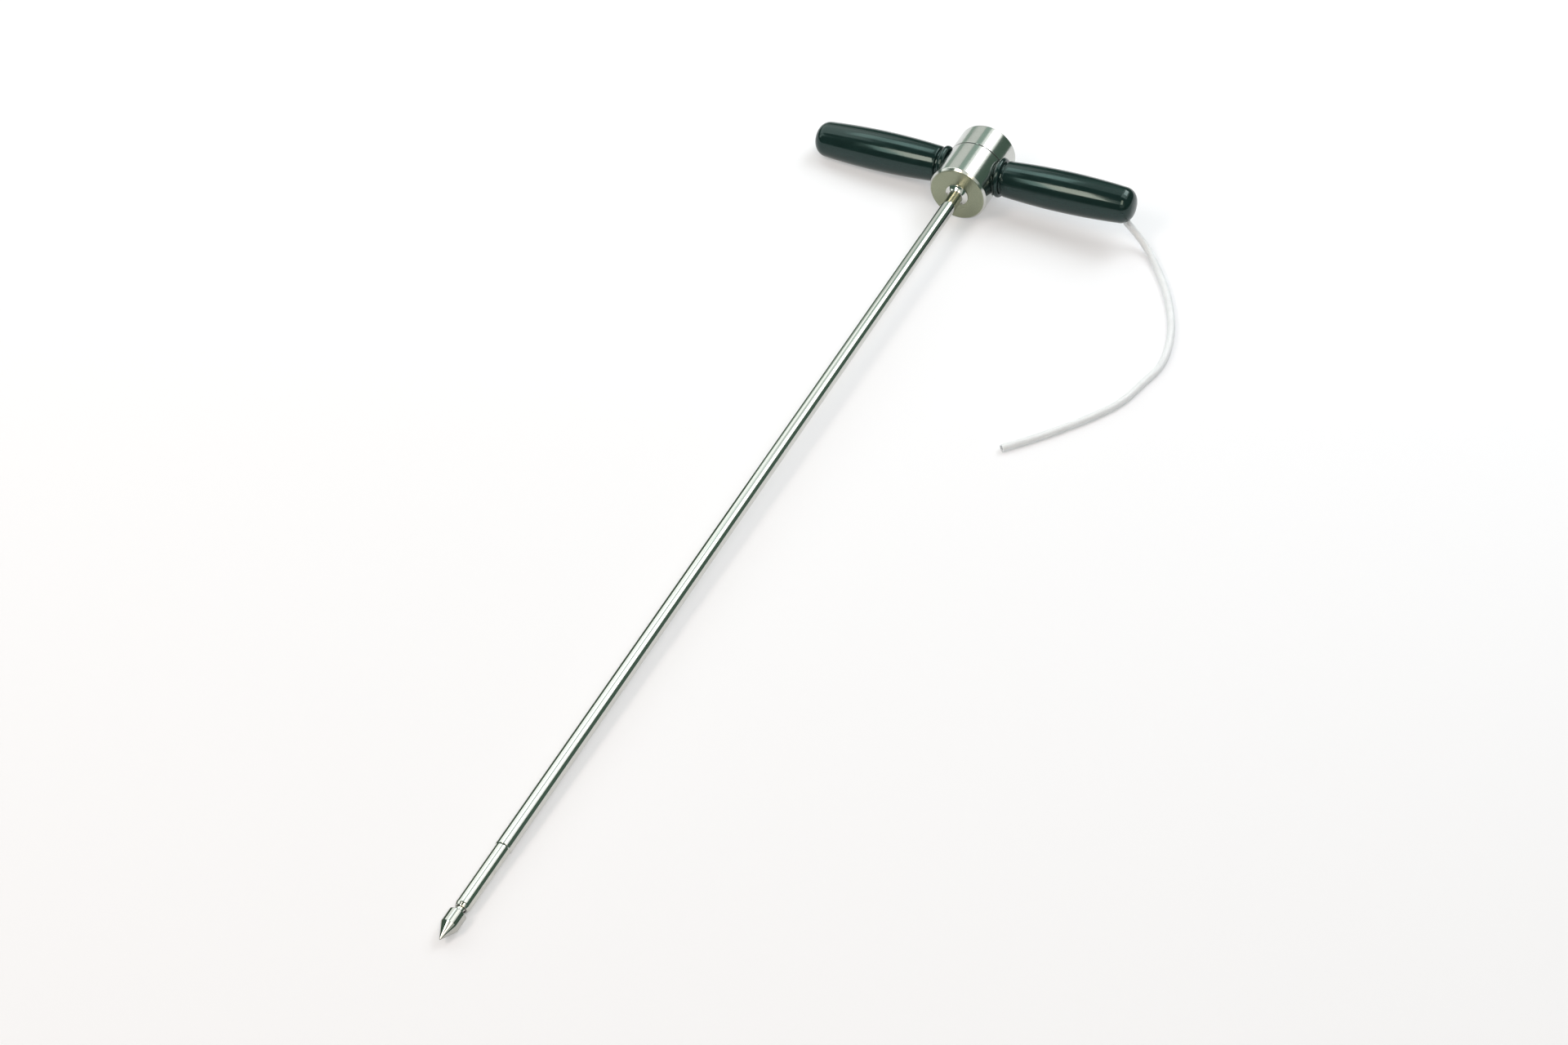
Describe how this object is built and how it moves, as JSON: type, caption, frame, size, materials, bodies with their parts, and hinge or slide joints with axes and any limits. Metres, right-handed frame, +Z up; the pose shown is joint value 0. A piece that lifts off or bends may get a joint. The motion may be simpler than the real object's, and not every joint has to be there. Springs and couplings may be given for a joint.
{
  "type": "soil gas probe",
  "caption": "T-handled steel soil gas probe lying on a table: tube with sliding cone tip and sampling head, striking hub, black moulded grips and a bare gas hose.",
  "frame": {"origin": "on the table under the middle of the lying probe, measured without the free hose", "axes": "+Z up from the table, +Y along the lying probe from its tip to its hub, +X along the T-bar to the grip with the hose"},
  "size_m": [0.36, 0.8818, 0.0514],
  "materials": {
    "tube_steel": "polished stainless steel",
    "hub_steel": "fine-turned stainless steel",
    "head_steel": "turned stainless steel",
    "inner_steel": "plain machined steel",
    "brass": "machined brass",
    "grip_plastic": "glossy black moulding",
    "hose_plastic": "milky translucent hose",
    "seal_rubber": "soft black rubber"
  },
  "bodies": {
    "probe": {"probe_tube": "tube_steel", "tube_collar": "tube_steel", "hub_body": "hub_steel", "striking_plug": "hub_steel", "sampling_head": "head_steel", "left_spindle": "inner_steel", "right_spindle": "inner_steel", "hose_ferrule": "inner_steel", "hose_nipple": "brass", "left_grip_insert": "brass", "right_grip_insert": "brass", "left_grip": "grip_plastic", "right_grip": "grip_plastic", "inner_hose": "hose_plastic", "gas_hose": "hose_plastic", "outlet_bush": "seal_rubber", "plug_seal": "seal_rubber", "nipple_seal": "seal_rubber"},
    "tip": {"cone_tip": "head_steel", "tip_stop_nut": "head_steel"}
  },
  "joints": [
    {"name": "tip_slide", "type": "slide", "parent": "probe", "child": "tip", "axis": [0, 0.9997, 0.0232], "range_m": [0, 0.00355]}
  ]
}
